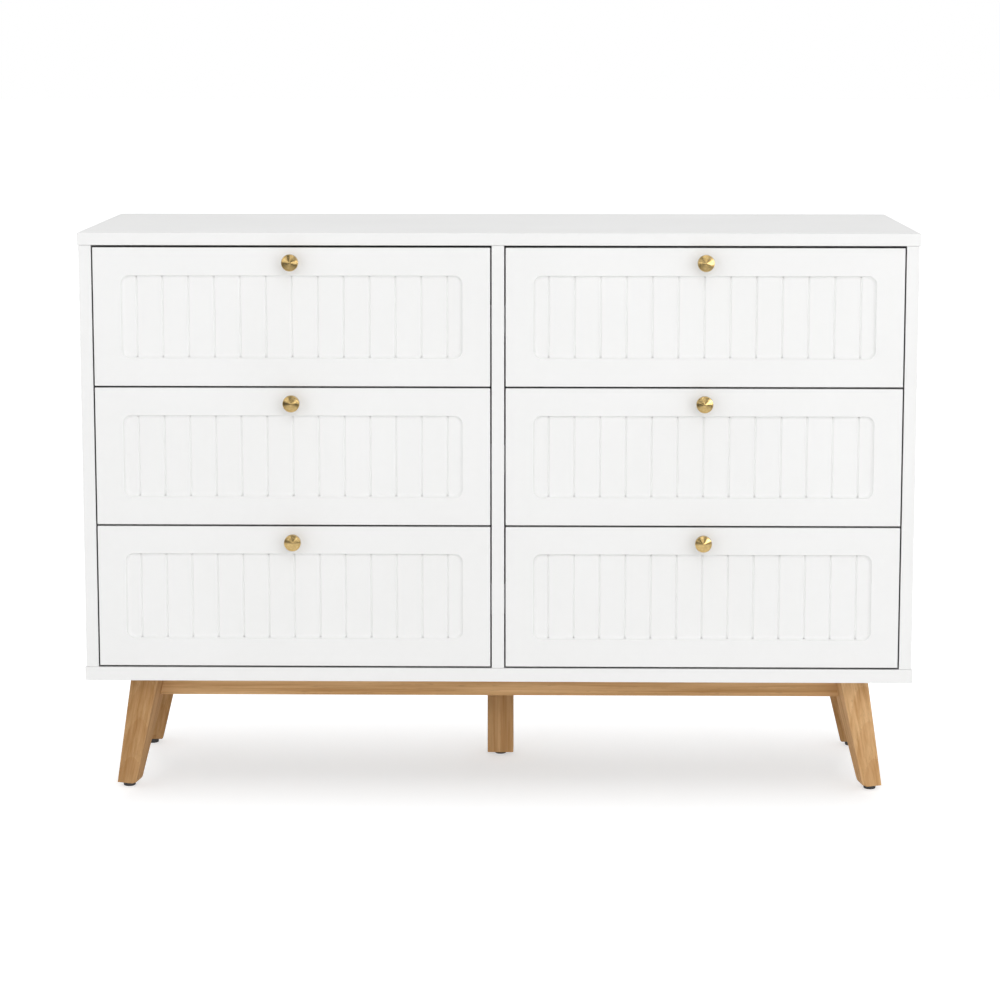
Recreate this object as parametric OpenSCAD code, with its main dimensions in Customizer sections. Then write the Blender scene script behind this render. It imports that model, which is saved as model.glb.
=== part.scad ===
// Six-drawer dresser: a white case on a wooden base with splayed, tapered legs.
// Millimetres, Z up, X to the right. The drawer fronts face -Y.
// The origin is on the floor, under the middle of the dresser's overall box.

/* [Case] */
// Width of the top and bottom panels
case_w = 1200; // [1000:10:1500]
// Depth of the case, front to back
case_d = 400; // [360:5:500]
// Height of the case without its base
case_h = 652; // [600:1:800]
// Thickness of the top panel
top_t = 18; // [16:1:25]
// Thickness of the bottom panel
bottom_t = 20; // [16:1:28]
// Thickness of the sides and of the centre divider
side_t = 18; // [16:1:25]
// How far the top and bottom panels stand out past the sides
side_inset = 2; // [0.5:0.5:6]
// Thickness of the back panel
back_t = 4; // [3:0.5:6]
// Distance from the rear edge of the case to the back panel
back_inset = 12; // [8:1:25]
// Depth of the grooves that hold the back panel
back_groove = 5; // [3:0.5:7]

/* [Drawer fronts] */
// Thickness of a drawer front
front_t = 18; // [16:1:22]
// Gap between a front and the panel beside it
side_gap = 2; // [1:0.5:4]
// Gap between the top panel and the upper fronts
top_gap = 3; // [1:0.5:5]
// Gap between two fronts, and under the lower ones
front_gap = 2.5; // [1:0.5:5]
// How much taller a lower front is than the others
lower_extra = 6.5; // [0:0.5:30]

/* [Front panelling] */
// Width of the plain border round the recess
border = 40; // [34:1:50]
// Depth of the recess, and radius of its coved wall
recess_depth = 5; // [3:0.5:7]
// Corner radius of the recess
recess_r = 12; // [9:1:25]
// Distance between two grooves
groove_pitch = 37; // [20:1:60]
// Width of a groove
groove_w = 3.5; // [2:0.5:6]
// Depth of a groove
groove_d = 1.8; // [1:0.1:3]
// Distance of a groove's end from the edge of the recess
groove_end = 1.2; // [0.6:0.2:3]

/* [Knob] */
// Diameter of the knob's face
knob_d = 24; // [20:0.5:32]
// How far the knob stands out of the front
knob_out = 25; // [20:0.5:35]
// Thickness of the knob's rim
knob_rim = 7; // [4:0.5:9]
// Diameter of the knob's neck
knob_neck_d = 11; // [9:0.5:14]
// Diameter of the knob's foot
knob_foot_d = 15; // [14.5:0.5:19]
// Distance from the upper edge of the front to the knob's centre
knob_drop = 20; // [16:0.5:25]
// Diameter of the knob's screw
knob_screw_d = 4; // [3:0.5:5]
// Length of the screw inside the knob
knob_screw_bite = 9; // [6:0.5:12]
// Diameter of the screw's head
knob_head_d = 8; // [7:0.5:10]
// Height of the screw's head
knob_head_h = 2.4; // [1.5:0.1:4]

/* [Drawer box] */
// Thickness of the drawer sides
box_side_t = 12; // [10:1:15]
// Thickness of the drawer back
box_back_t = 12; // [10:1:18]
// Thickness of the drawer floor
floor_t = 5; // [3:0.5:7]
// Depth of the grooves that hold the floor
floor_groove = 5; // [3:0.5:6]
// Height of the floor above the lower edge of the sides
floor_lift = 10; // [6:1:20]
// Height of the drawer sides' lower edge above the front's lower edge
box_lift = 20; // [10:1:30]
// Distance from the front's upper edge down to the drawer sides
box_drop = 34; // [30:1:50]
// Free space between the drawer box and the back panel
box_back_clear = 16; // [6:1:30]

/* [Runners] */
// Space that a runner fills between the drawer side and the case
runner_t = 12.7; // [12:0.1:14]
// Height of the cabinet member
runner_h = 45; // [36:1:53]
// Sheet thickness of the members
sheet_t = 1.2; // [1:0.1:1.5]
// Gap between the flanges of two members
flange_gap = 1.6; // [0.8:0.1:2]
// Gap between a flange's edge and the next member's web
web_gap = 1; // [0.6:0.1:1.5]
// Distance from the back of the front to the runner's end
runner_setback = 4; // [2:0.5:10]

/* [Base] */
// Height of the base, floor to case
base_h = 180; // [140:1:230]
// Distance from the front or back of the case to a leg
leg_inset_y = 58; // [30:1:80]
// Distance from the end of the case to a leg's upper corner
leg_inset_x = 57; // [40:1:120]
// Width of a leg at its top
leg_top_w = 43; // [38:1:60]
// Width of a leg at its foot
leg_foot_w = 29; // [24:1:40]
// Depth of a leg at its top
leg_top_d = 56; // [54:1:80]
// Depth of a leg at its foot
leg_foot_d = 28; // [26:1:50]
// How far the foot stands out sideways past the leg's top
leg_splay = 26; // [0:1:35]
// How far a leg is turned outwards about its upper inner corner, in degrees
leg_turn = 10; // [0:0.5:12]
// Slope of the cut under the foot, in degrees
foot_cut = 2.5; // [0:0.5:9]
// Height of the rails
rail_h = 44; // [40:1:60]
// Thickness of the rails
rail_t = 18; // [18:1:22]
// Distance from the face of a leg to the long rail
rail_setback = 34; // [30:1:36]
// Distance from a leg's upper outer corner to the side rail
side_rail_setback = 8; // [4:1:12]
// Width and depth of the centre leg
centre_leg_w = 40; // [30:1:50]
// Gap between the centre leg and the rear rail
centre_leg_gap = 5; // [0:1:20]

/* [Glides] */
// Diameter of a glide
glide_d = 18; // [12:0.5:22]
// Height of the foot above the floor
glide_h = 6; // [3:0.5:12]
// Rounding of the glide's lower edge
glide_edge = 1; // [0.5:0.1:2]
// Diameter of the glide's pin
glide_pin_d = 4; // [3:0.5:6]
// Length of the glide's pin
glide_pin_l = 20; // [12:1:30]

/* [Fasteners] */
// Diameter of a dowel
dowel_d = 8; // [6:0.5:10]
// Length of a dowel
dowel_l = 30; // [25:1:36]
// Length of a dowel in the top panel, in a leg or in a long rail
dowel_bite = 12; // [8:0.5:13]
// Distance from the case's front, and from its back panel, to the nearest dowel or screw
joint_inset = 40; // [20:1:80]
// Height between the two dowels of a long rail's joint
rail_dowel_pitch = 24; // [22:1:28]
// Diameter of a screw
screw_d = 5; // [4:0.5:6]
// Length of a screw with its head
screw_l = 50; // [42:1:54]
// Diameter of a screw's head
screw_head_d = 10; // [8:0.5:12]
// Height of a screw's head
screw_head_h = 3; // [2:0.5:4]
// Length of a base screw in the bottom panel
base_screw_bite = 14; // [10:1:15]
// Distance from the middle to the inner screw of a long rail
rail_screw_inner = 150; // [100:5:200]
// Distance from the end of a long rail to its outer screw
rail_screw_inset = 102; // [60:1:150]
// Distance from the end of a side rail to its screw
side_screw_inset = 28; // [24:1:36]

/* [Clearances] */
// Play of a panel in its groove
panel_play = 0.25; // [0.1:0.05:0.5]
// Radial play of a dowel, screw or pin in its hole
bore_play = 0.1; // [0.05:0.05:0.3]
// Free depth past the end of a dowel, screw or pin
end_play = 1; // [0.5:0.5:2]

/* [Hidden] */
$fn = 48;
cut = 1; // how far a cutting shape reaches past the face that it opens

columns = [-1, 1];
rows = [0, 1, 2]; // from the lowest drawer up
row_names = ["lower", "middle", "upper"];
drawer_pieces = ["drawer_front", "drawer_sides", "drawer_back", "drawer_floor",
    "knob", "drawer_runners", "middle_runners"];
function drawer_name(col, row) = str(row_names[row], col < 0 ? "_left" : "_right");

white = [0.94, 0.94, 0.93];
oak = [0.72, 0.54, 0.35];
birch = [0.86, 0.78, 0.62];
brass = [0.72, 0.6, 0.34];
zinc = [0.72, 0.74, 0.76];
black = [0.12, 0.12, 0.12];

// Case, measured from the floor and from the middle of the overall box
front_y = -(case_d - knob_out) / 2;
back_y = front_y + case_d;
mid_y = front_y + case_d / 2;
top_z = base_h + case_h;
side_x = case_w / 2 - side_inset;
side_mid_x = side_x - side_t / 2;
side_z = base_h + bottom_t;
side_h = case_h - top_t - bottom_t;
inner_x = side_x - side_t;
back_face_y = back_y - back_inset - back_t;
back_slot = back_t + panel_play;
divider_d = back_face_y - front_y;

// Drawer fronts
bay_w = inner_x - side_t / 2;
bay_x = (inner_x + side_t / 2) / 2;
front_w = bay_w - 2 * side_gap;
front_h = (side_h - top_gap - 3 * front_gap - lower_extra) / 3;
function height_of(row) = front_h + (row == 0 ? lower_extra : 0);
function base_of(row) = side_z + front_gap
    + (row == 0 ? 0 : lower_extra + row * (front_h + front_gap));

// Drawer boxes, measured from the lower edge of the front and from its face
box_w = bay_w - 2 * runner_t;
box_l = divider_d - front_t - box_back_clear;
floor_z = box_lift + floor_lift;
floor_half = box_w / 2 - box_side_t + floor_groove;
function box_top(row) = height_of(row) - box_drop;

// Runners
runner_l = box_l - runner_setback;
flange_reach = runner_t - sheet_t - web_gap;
middle_web_x = sheet_t + web_gap;
middle_h = runner_h - 2 * (sheet_t + flange_gap);
inner_h = middle_h - 2 * (sheet_t + flange_gap);
function runner_z(row) = (box_lift + box_top(row)) / 2;

// Base, measured from the middle of the case's depth
leg_face_y = case_d / 2 - leg_inset_y;
leg_outer_x = case_w / 2 - leg_inset_x;
foot_outer_x = leg_outer_x + leg_splay;
foot_inner_x = foot_outer_x - leg_foot_w;
foot_mid_x = foot_outer_x - leg_foot_w / 2;
foot_mid_y = leg_face_y - leg_foot_d / 2;
rail_z = base_h - rail_h;
rail_mid_z = base_h - rail_h / 2;
rail_face_y = leg_face_y - rail_setback;
rail_mid_y = rail_face_y - rail_t / 2;
rail_back_y = rail_face_y - rail_t;
side_rail_x = leg_outer_x - side_rail_setback - rail_t;
side_rail_mid_x = side_rail_x + rail_t / 2;
centre_leg_mid_y = rail_back_y - centre_leg_gap - centre_leg_w / 2;
glide_top = glide_h + (leg_foot_w + glide_d) / 2 * tan(foot_cut);
// Height of the dowel that stands in the centre leg
leg_dowel_z = rail_z - dowel_l / 2 + dowel_bite;
// Before a leg is turned: X of its inner face, and how far its back face is from mid depth
function leg_inner(z) = leg_outer_x - leg_top_w
    + (foot_inner_x - leg_outer_x + leg_top_w) * (base_h - z) / (base_h - glide_h);
function leg_back(z) = leg_face_y - leg_foot_d - (leg_top_d - leg_foot_d) * z / base_h;
// The same two of the turned leg, where the first is at y and the second at x
function leg_side(y, z) = leg_inner(base_h) + (leg_inner(z) - leg_inner(base_h)) / cos(leg_turn)
    + (y - leg_face_y) * tan(leg_turn);
function leg_rear(x, z) = leg_face_y - (x - leg_inner(base_h)) * tan(leg_turn)
    + (leg_back(z) - leg_face_y) / cos(leg_turn);

// Fastener places
joint_xs = [-side_mid_x, 0, side_mid_x];
joint_ys = [front_y + joint_inset, (front_y + back_face_y) / 2, back_face_y - joint_inset];
rail_dowel_zs = [rail_mid_z - rail_dowel_pitch / 2, rail_mid_z + rail_dowel_pitch / 2];

// Shared shapes

// An outline in X and Z, made into a plate that reaches from y to y + depth
module plate_along_y(y, depth)
    translate([0, y + depth, 0]) rotate([90, 0, 0]) linear_extrude(depth) children();

// An outline in Y and Z, made into a plate that reaches from x to x + width
module plate_along_x(x, width)
    translate([x, 0, 0]) rotate([90, 0, 90]) linear_extrude(width) children();

// Mirrors a shape to the left for a side of -1
module on_side(side) mirror([side < 0 ? 1 : 0, 0, 0]) children();

// Puts a shape drawn for the right rear corner of the base at any corner
module at_corner(side, end)
    translate([0, mid_y, 0]) mirror([0, end < 0 ? 1 : 0, 0]) on_side(side) children();

// Turns what is drawn square to the case as the right rear leg is turned
module turned() translate([leg_inner(base_h), leg_face_y, 0]) rotate([0, 0, -leg_turn])
    translate([-leg_inner(base_h), -leg_face_y, 0]) children();

// A dowel round the origin along Z; holes are drawn with some play
module dowel(play = 0, ends = 0)
    cylinder(h = dowel_l + 2 * ends, d = dowel_d + 2 * play, center = true);

// A screw pointing up, with its head's outer face at z = 0
module screw(play = 0, ends = 0) {
    translate([0, 0, -ends]) cylinder(h = screw_head_h + ends, d = screw_head_d + 2 * play);
    cylinder(h = screw_l + ends, d = screw_d + 2 * play);
}

// Dowels and screws, drawn once for the fasteners and once larger for their holes

module top_dowels(play = 0, ends = 0)
    for (x = joint_xs, y = joint_ys)
        translate([x, y, top_z - top_t + dowel_bite - dowel_l / 2]) dowel(play, ends);

module rail_end_dowels(play = 0, ends = 0) {
    for (z = rail_dowel_zs)
        translate([leg_side(rail_mid_y, z) + dowel_bite - dowel_l / 2, rail_mid_y, z])
            rotate([0, 90, 0]) dowel(play, ends);
    translate([side_rail_mid_x,
        leg_rear(side_rail_mid_x, rail_mid_z) + dowel_bite - dowel_l / 2, rail_mid_z])
            rotate([90, 0, 0]) dowel(play, ends);
}

module corner_dowels(play = 0, ends = 0)
    for (side = [-1, 1], end = [-1, 1]) at_corner(side, end) rail_end_dowels(play, ends);

module centre_dowels(play = 0, ends = 0) {
    for (end = [-1, 1], z = rail_dowel_zs)
        translate([0, mid_y + end * (rail_back_y + dowel_bite - dowel_l / 2), z])
            rotate([90, 0, 0]) dowel(play, ends);
    translate([0, mid_y + centre_leg_mid_y, leg_dowel_z]) dowel(play, ends);
}

module case_screws(play = 0, ends = 0)
    for (x = joint_xs, y = joint_ys) translate([x, y, base_h]) screw(play, ends);

module base_screws(play = 0, ends = 0)
    translate([0, mid_y, base_h + base_screw_bite - screw_l]) {
        for (x = [rail_screw_inner, leg_side(rail_mid_y, base_h) - rail_screw_inset],
            side = [-1, 1], end = [-1, 1])
            translate([side * x, end * rail_mid_y, 0]) screw(play, ends);
        for (side = [-1, 1], end = [-1, 1])
            translate([side * side_rail_mid_x,
                end * (leg_rear(side_rail_mid_x, base_h) - side_screw_inset), 0])
                    screw(play, ends);
    }

// The room that the base screws' heads pass through from below
module base_screw_access()
    base_screws(bore_play, base_screw_bite + rail_h);

// Case

module back_grooves()
    translate([-inner_x - back_groove, back_face_y - panel_play, side_z - back_groove])
        cube([2 * (inner_x + back_groove), back_slot, side_h + 2 * back_groove]);

module top_panel() color(white) difference() {
    translate([-case_w / 2, front_y, top_z - top_t]) cube([case_w, case_d, top_t]);
    back_grooves();
    top_dowels(bore_play, end_play);
}

module bottom_panel() color(white) difference() {
    translate([-case_w / 2, front_y, base_h]) cube([case_w, case_d, bottom_t]);
    back_grooves();
    case_screws(bore_play);
    base_screws(bore_play, end_play);
}

module side_panel(side) color(white) difference() {
    on_side(side) translate([inner_x, front_y, side_z]) cube([side_t, case_d, side_h]);
    back_grooves();
    top_dowels(bore_play, end_play);
    case_screws(bore_play);
}

module centre_divider() color(white) difference() {
    translate([-side_t / 2, front_y, side_z]) cube([side_t, divider_d - panel_play, side_h]);
    top_dowels(bore_play, end_play);
    case_screws(bore_play);
}

module back_panel() color(white)
    translate([-inner_x - back_groove + panel_play, back_face_y, side_z - back_groove])
        cube([2 * (inner_x + back_groove - panel_play), back_t, side_h + 2 * back_groove - panel_play]);

// Runners: C channels that nest from the case inwards to the drawer

// A channel with its web at x = 0 and its flanges towards +X
module channel(height, depth)
    translate([0, front_t + runner_setback, -height / 2]) difference() {
        cube([depth, runner_l, height]);
        translate([sheet_t, -cut, sheet_t])
            cube([depth, runner_l + 2 * cut, height - 2 * sheet_t]);
    }

// Both runners of one drawer, drawn from the left wall of its bay towards the drawer
module runner_pair(row)
    for (side = [-1, 1]) mirror([side < 0 ? 0 : 1, 0, 0])
        translate([-bay_w / 2, 0, runner_z(row)]) children();

module cabinet_runners() color(zinc)
    for (col = columns, row = rows) in_bay(col, row)
        runner_pair(row) channel(runner_h, flange_reach);

module middle_runners(row) color(zinc)
    runner_pair(row) translate([middle_web_x, 0, 0]) channel(middle_h, flange_reach - middle_web_x);

module drawer_runners(row) color(zinc)
    runner_pair(row) translate([runner_t, 0, 0]) mirror([1, 0, 0])
        channel(inner_h, flange_reach - middle_web_x);

// Drawers, drawn with the front's face at y = 0 and its lower edge at z = 0

module in_bay(col, row) translate([col * bay_x, front_y, base_of(row)]) children();

// The recess's section: flat floor, coved walls, open towards -Y
module recess_section(half)
    intersection() {
        union() {
            translate([-half, -cut]) square([2 * half, recess_depth + cut]);
            for (x = [-half, half]) translate([x, 0]) circle(recess_depth);
        }
        translate([-half - recess_depth, -cut])
            square([2 * (half + recess_depth), recess_depth + cut]);
    }

// One rounded corner of the recess, turned from half of the same section
module recess_corner()
    rotate([-90, 0, 0]) rotate_extrude() intersection() {
        recess_section(recess_r - recess_depth);
        translate([0, -cut]) square([recess_r, recess_depth + cut]);
    }

// A rounded rectangle sunk into the face, round the origin
module recess(width, height) {
    half_w = width / 2 - recess_r;
    half_h = height / 2 - recess_r;
    for (x = [-half_w, half_w], z = [-half_h, half_h]) translate([x, 0, z]) recess_corner();
    translate([0, 0, -half_h]) linear_extrude(2 * half_h) recess_section(width / 2 - recess_depth);
    translate([-half_w, 0, 0]) rotate([0, 90, 0])
        linear_extrude(2 * half_w) recess_section(height / 2 - recess_depth);
}

// Upright V grooves across the recess and through its coved wall, one of them under the knob
module grooves(width, height) {
    groove_h = height - 2 * groove_end;
    count = floor((width / 2 - recess_r) / groove_pitch);
    for (i = [-count : count]) translate([i * groove_pitch, 0, -groove_h / 2])
        linear_extrude(groove_h) polygon([
            [-groove_w / 2, -cut], [-groove_w / 2, recess_depth], [0, recess_depth + groove_d],
            [groove_w / 2, recess_depth], [groove_w / 2, -cut]]);
}

module knob_axis(row) translate([0, 0, height_of(row) - knob_drop]) rotate([90, 0, 0]) children();

module drawer_front(row) color(white) difference() {
    height = height_of(row);
    translate([-front_w / 2, 0, 0]) cube([front_w, front_t, height]);
    translate([0, 0, height / 2]) {
        recess(front_w - 2 * border, height - 2 * border);
        grooves(front_w - 2 * border, height - 2 * border);
    }
    knob_axis(row) translate([0, 0, -front_t - cut])
        cylinder(h = front_t + 2 * cut, d = knob_screw_d + 2 * bore_play);
    floor_slot();
}

module floor_slot()
    translate([-floor_half, front_t - floor_groove, floor_z])
        cube([2 * floor_half, box_l + 2 * floor_groove, floor_t + panel_play]);

module drawer_sides(row) color(birch)
    for (side = [-1, 1]) difference() {
        on_side(side) translate([box_w / 2 - box_side_t, front_t, box_lift])
            cube([box_side_t, box_l, box_top(row) - box_lift]);
        floor_slot();
    }

module drawer_back(row) color(birch)
    translate([-box_w / 2 + box_side_t, front_t + box_l - box_back_t, floor_z + floor_t])
        cube([box_w - 2 * box_side_t, box_back_t, box_top(row) - floor_z - floor_t]);

module drawer_floor() color(birch)
    translate([-floor_half + panel_play, front_t - floor_groove + panel_play, floor_z])
        cube([2 * (floor_half - panel_play), box_l + floor_groove - panel_play, floor_t]);

// The knob's outline from its foot to its face, as [radius, distance from the front]
function knob_curve(a) = [knob_neck_d / 2 + (knob_d - knob_neck_d) / 2 * (1 - cos(a)),
    knob_out - knob_rim - (knob_d - knob_neck_d) / 2 * (1 - sin(a))];
knob_outline = concat(
    [[0, 0], [knob_foot_d / 2, 0], [knob_foot_d / 2, 1.2], [knob_neck_d / 2, 3]],
    [for (a = [0 : 15 : 90]) knob_curve(a)],
    [[knob_d / 2, knob_out - 0.8], [knob_d / 2 - 0.8, knob_out], [0, knob_out]]);

module knob(row) color(brass) knob_axis(row) difference() {
    rotate_extrude() polygon(knob_outline);
    translate([0, 0, -cut])
        cylinder(h = knob_screw_bite + end_play + cut, d = knob_screw_d + 2 * bore_play);
}

module knob_screw(row) color(zinc) knob_axis(row) {
    translate([0, 0, -front_t - knob_head_h]) cylinder(h = knob_head_h, d = knob_head_d);
    translate([0, 0, -front_t - knob_head_h])
        cylinder(h = knob_head_h + front_t + knob_screw_bite, d = knob_screw_d);
}

// Base

// A leg drawn for the right rear corner, from mid depth
module leg_blank() intersection() {
    plate_along_y(leg_face_y - leg_top_d, leg_top_d) polygon([
        [leg_inner(base_h), base_h], [leg_outer_x, base_h],
        [foot_outer_x, glide_h + leg_foot_w * tan(foot_cut)], [foot_inner_x, glide_h]]);
    plate_along_x(leg_inner(base_h) - cut, foot_outer_x - leg_inner(base_h) + 2 * cut) polygon([
        [leg_back(base_h), base_h], [leg_face_y, base_h], [leg_face_y, 0], [leg_back(0), 0]]);
}

module leg(side, end) color(oak) at_corner(side, end) difference() {
    turned() leg_blank();
    rail_end_dowels(bore_play, end_play);
    at_foot() glide(bore_play, end_play);
}

// All that lies past a leg's inner face, or past its back face, where a rail meets it
module past_leg_side() turned() plate_along_y(0, leg_face_y) polygon([
    [leg_inner(base_h + cut), base_h + cut], [leg_inner(rail_z - cut), rail_z - cut],
    [leg_outer_x + leg_top_d, rail_z - cut], [leg_outer_x + leg_top_d, base_h + cut]]);
module past_leg_back() turned()
    plate_along_x(leg_inner(base_h) - leg_top_d, leg_top_w + 2 * leg_top_d) polygon([
        [leg_back(base_h + cut), base_h + cut], [leg_back(rail_z - cut), rail_z - cut],
        [leg_face_y + leg_top_d, rail_z - cut], [leg_face_y + leg_top_d, base_h + cut]]);

module centre_leg() color(oak) difference() {
    translate([-centre_leg_w / 2, mid_y + centre_leg_mid_y - centre_leg_w / 2, glide_h])
        cube([centre_leg_w, centre_leg_w, rail_z - glide_h]);
    centre_dowels(bore_play, end_play);
    at_centre_foot() glide(bore_play, end_play);
}

module long_rail(end) color(oak) difference() {
    at_corner(1, end) translate([-leg_outer_x, rail_back_y, rail_z])
        cube([2 * leg_outer_x, rail_t, rail_h]);
    for (side = [-1, 1]) at_corner(side, end) past_leg_side();
    corner_dowels(bore_play, end_play);
    centre_dowels(bore_play, end_play);
    base_screw_access();
}

module cross_rails() color(oak) difference() {
    translate([0, mid_y, rail_z]) {
        for (side = [-1, 1]) on_side(side) translate([side_rail_x, -leg_face_y, 0])
            cube([rail_t, 2 * leg_face_y, rail_h]);
        translate([-centre_leg_w / 2, -rail_back_y, 0])
            cube([centre_leg_w, 2 * rail_back_y, rail_h]);
    }
    for (side = [-1, 1], end = [-1, 1]) at_corner(side, end) past_leg_back();
    corner_dowels(bore_play, end_play);
    centre_dowels(bore_play, end_play);
    base_screw_access();
}

module at_foot() turned() translate([foot_mid_x, foot_mid_y, 0]) children();
module at_centre_foot() translate([0, mid_y + centre_leg_mid_y, 0]) children();

// A nail-on glide that stands on the floor
module glide(play = 0, ends = 0) {
    rotate_extrude() polygon([[0, 0], [glide_d / 2 - glide_edge + play, 0],
        [glide_d / 2 + play, glide_edge], [glide_d / 2 + play, glide_top], [0, glide_top]]);
    translate([0, 0, glide_top / 2])
        cylinder(h = glide_pin_l + glide_top / 2 + ends, d = glide_pin_d + 2 * play);
}

module foot_glides() color(black) {
    for (side = [-1, 1], end = [-1, 1]) at_corner(side, end) at_foot() glide();
    at_centre_foot() glide();
}

module dowels() color(birch) {
    top_dowels();
    corner_dowels();
    centre_dowels();
}

module screws() color(zinc) {
    case_screws();
    base_screws();
}

top_panel();
bottom_panel();
side_panel(-1);  // left_side_panel
side_panel(1);  // right_side_panel
centre_divider();
back_panel();
cabinet_runners();
long_rail(-1);  // front_rail
long_rail(1);  // rear_rail
cross_rails();
leg(-1, -1);  // front_left_leg
leg(1, -1);  // front_right_leg
leg(-1, 1);  // rear_left_leg
leg(1, 1);  // rear_right_leg
centre_leg();
foot_glides();
dowels();
screws();
for (col = columns, row = rows) {
    drawer = drawer_name(col, row);
    in_bay(col, row) drawer_front(row);
    in_bay(col, row) drawer_sides(row);
    in_bay(col, row) drawer_back(row);
    in_bay(col, row) drawer_floor();
    in_bay(col, row) knob(row);
    in_bay(col, row) knob_screw(row);
    in_bay(col, row) drawer_runners(row);
    in_bay(col, row) middle_runners(row);
}
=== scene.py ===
"""A white dresser with six drawers on an oak base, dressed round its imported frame.

Sizes are in metres. Z points up, the drawer fronts face -Y and the floor is z = 0.
"""

import logging
import math
from dataclasses import dataclass
from enum import Enum
from functools import lru_cache
from typing import Callable, Iterable, Sequence

import bmesh
import bpy
import numpy as np
from mathutils import Matrix, Vector


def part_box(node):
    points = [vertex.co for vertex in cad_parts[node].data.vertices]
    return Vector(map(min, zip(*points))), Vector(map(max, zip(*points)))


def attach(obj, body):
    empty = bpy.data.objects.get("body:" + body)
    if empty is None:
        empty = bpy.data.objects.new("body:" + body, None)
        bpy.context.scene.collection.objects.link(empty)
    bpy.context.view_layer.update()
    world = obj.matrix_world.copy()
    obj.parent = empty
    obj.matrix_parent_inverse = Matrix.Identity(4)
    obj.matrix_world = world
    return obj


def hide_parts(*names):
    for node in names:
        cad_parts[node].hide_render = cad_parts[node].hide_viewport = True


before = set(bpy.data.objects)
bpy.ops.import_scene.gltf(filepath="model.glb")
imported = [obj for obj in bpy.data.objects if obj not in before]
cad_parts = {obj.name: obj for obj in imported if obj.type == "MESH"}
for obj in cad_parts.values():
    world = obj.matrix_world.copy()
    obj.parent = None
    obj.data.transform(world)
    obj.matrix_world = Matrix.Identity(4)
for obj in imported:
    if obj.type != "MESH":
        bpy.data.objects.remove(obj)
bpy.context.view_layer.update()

MM = 0.001
WAVE = 2 * math.pi / 20  # length of a wave texture's waves at scale 1
LOG = logging.getLogger("dresser")

Rgb = Point = tuple[float, float, float]
Pair = tuple[float, float]
Outline = list[Pair]
Socket = bpy.types.NodeSocket
Vert = bmesh.types.BMVert
Edge = bmesh.types.BMEdge


class Column(Enum):
    """The two columns of drawers."""

    LEFT = "left"
    RIGHT = "right"


class Row(Enum):
    """The three rows of drawers."""

    LOWER = "lower"
    MIDDLE = "middle"
    UPPER = "upper"


class Slot(Enum):
    """The record's material slots."""

    WHITE_LACQUER = "white_lacquer"
    WHITE_BOARD = "white_board"
    OAK = "oak"
    DRAWER_WOOD = "drawer_wood"
    FLOOR_BOARD = "drawer_floor_board"
    BEECH = "beech"
    BRASS = "brass"
    ZINC_STEEL = "zinc_steel"
    BLACK_PLASTIC = "black_plastic"


class Axis(Enum):
    """A direction that a board's grain or its broad face can take."""

    X = (1.0, 0.0, 0.0)
    Y = (0.0, 1.0, 0.0)


# Finishes


class Nodes:
    """The nodes of a material or of the world, in the making."""

    def __init__(self, owner: bpy.types.ID) -> None:
        """Starts without any node.

        Args:
            owner: the material or the world
        """
        owner.use_nodes = True
        self.tree = owner.node_tree
        self.tree.nodes.clear()

    def add(self, kind: str, inputs: dict | None = None, **settings: object) -> bpy.types.Node:
        """Adds a node.

        Args:
            kind: what follows ShaderNode in its type name
            inputs: a value or an output socket for each input, by name or number
            settings: the node's own properties
        Returns:
            The node.
        """
        node = self.tree.nodes.new("ShaderNode" + kind)
        for key, value in settings.items():
            setattr(node, key, value)
        for key, value in (inputs or {}).items():
            self.feed(node.inputs[key], value)
        return node

    def feed(self, socket: Socket, value: object) -> None:
        """Links an output socket to an input, or sets the input's own value.

        Args:
            socket: the input
            value: an output socket, a number or a tuple
        """
        if isinstance(value, Socket):
            self.tree.links.new(value, socket)
        else:
            socket.default_value = value

    def maths(self, operation: str, first: object, second: object = 0.0) -> Socket:
        """Adds one sum of two numbers or sockets."""
        return self.add("Math", {0: first, 1: second}, operation=operation).outputs["Value"]

    def span(self, value: Socket, low: float, high: float, start: float = 0.0,
             end: float = 1.0) -> Socket:
        """Maps start..end to low..high, without going past either."""
        return self.add("MapRange", {"Value": value, "From Min": start, "From Max": end,
                                     "To Min": low, "To Max": high}).outputs["Result"]


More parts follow.
